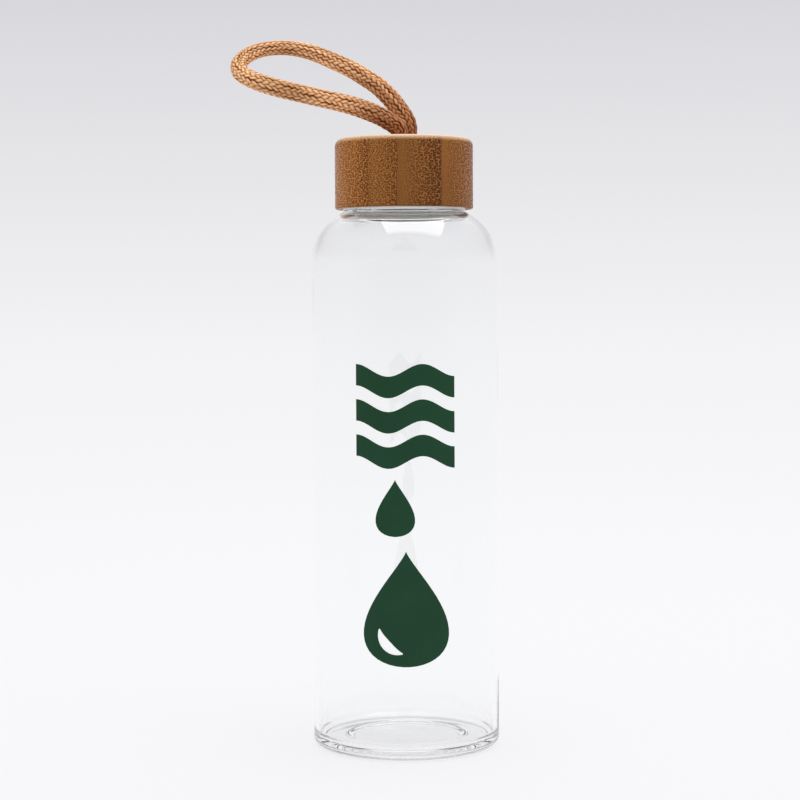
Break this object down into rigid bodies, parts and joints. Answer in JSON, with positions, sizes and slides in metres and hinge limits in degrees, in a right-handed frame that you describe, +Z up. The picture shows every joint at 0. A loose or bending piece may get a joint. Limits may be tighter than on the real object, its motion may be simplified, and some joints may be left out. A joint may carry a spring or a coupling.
{
  "type": "glass water bottle",
  "caption": "Straight-sided clear glass water bottle with a screw-on turned bamboo cap and a braided cotton carry loop that swings and swivels in the cap.",
  "frame": {"origin": "on the bottle's axis, in the plane of the ring that it stands on", "axes": "+Z up along the bottle's axis, towards the cap; -Y towards the printed front; the loop leans towards -X at rest"},
  "size_m": [0.0928, 0.0652, 0.2469],
  "materials": {
    "clear_glass": "clear, polished, faintly green at its edges",
    "bamboo": "oiled end grain, satin",
    "white_plastic": "moulded polypropylene, satin",
    "silicone": "translucent silicone, matt",
    "tan_cotton": "braided cotton cord, matt",
    "green_enamel": "printed enamel ink, satin"
  },
  "bodies": {
    "bottle": {"glass_bottle": "clear_glass", "wave_mark_1": "green_enamel", "wave_mark_2": "green_enamel", "wave_mark_3": "green_enamel", "small_drop_mark": "green_enamel", "large_drop_mark": "green_enamel"},
    "seal": {"seal_ring": "silicone"},
    "cap": {"bamboo_cap": "bamboo", "thread_insert": "white_plastic"},
    "knot": {"cord_knot": "tan_cotton"},
    "loop": {"carry_cord": "tan_cotton"}
  },
  "joints": [
    {"name": "cap_lift", "type": "slide", "parent": "bottle", "child": "seal", "axis": [0, 0, 1], "range_m": [0, 0.016]},
    {"name": "cap_turn", "type": "hinge", "parent": "seal", "child": "cap", "pos_m": [0, 0, 0.195], "axis": [0, 0, 1], "range_deg": [0, 1440]},
    {"name": "cord_swivel", "type": "hinge", "parent": "cap", "child": "knot", "pos_m": [0, 0, 0.2032], "axis": [0, 0, 1], "range_deg": [-180, 180]},
    {"name": "cord_swing", "type": "hinge", "parent": "knot", "child": "loop", "pos_m": [0, 0, 0.2145], "axis": [0, 1, 0], "range_deg": [-10, 70]}
  ],
  "couplings": [
    {"joint": "cap_lift", "follows": "cap_turn", "m_per_rad": 0.00063662}
  ]
}
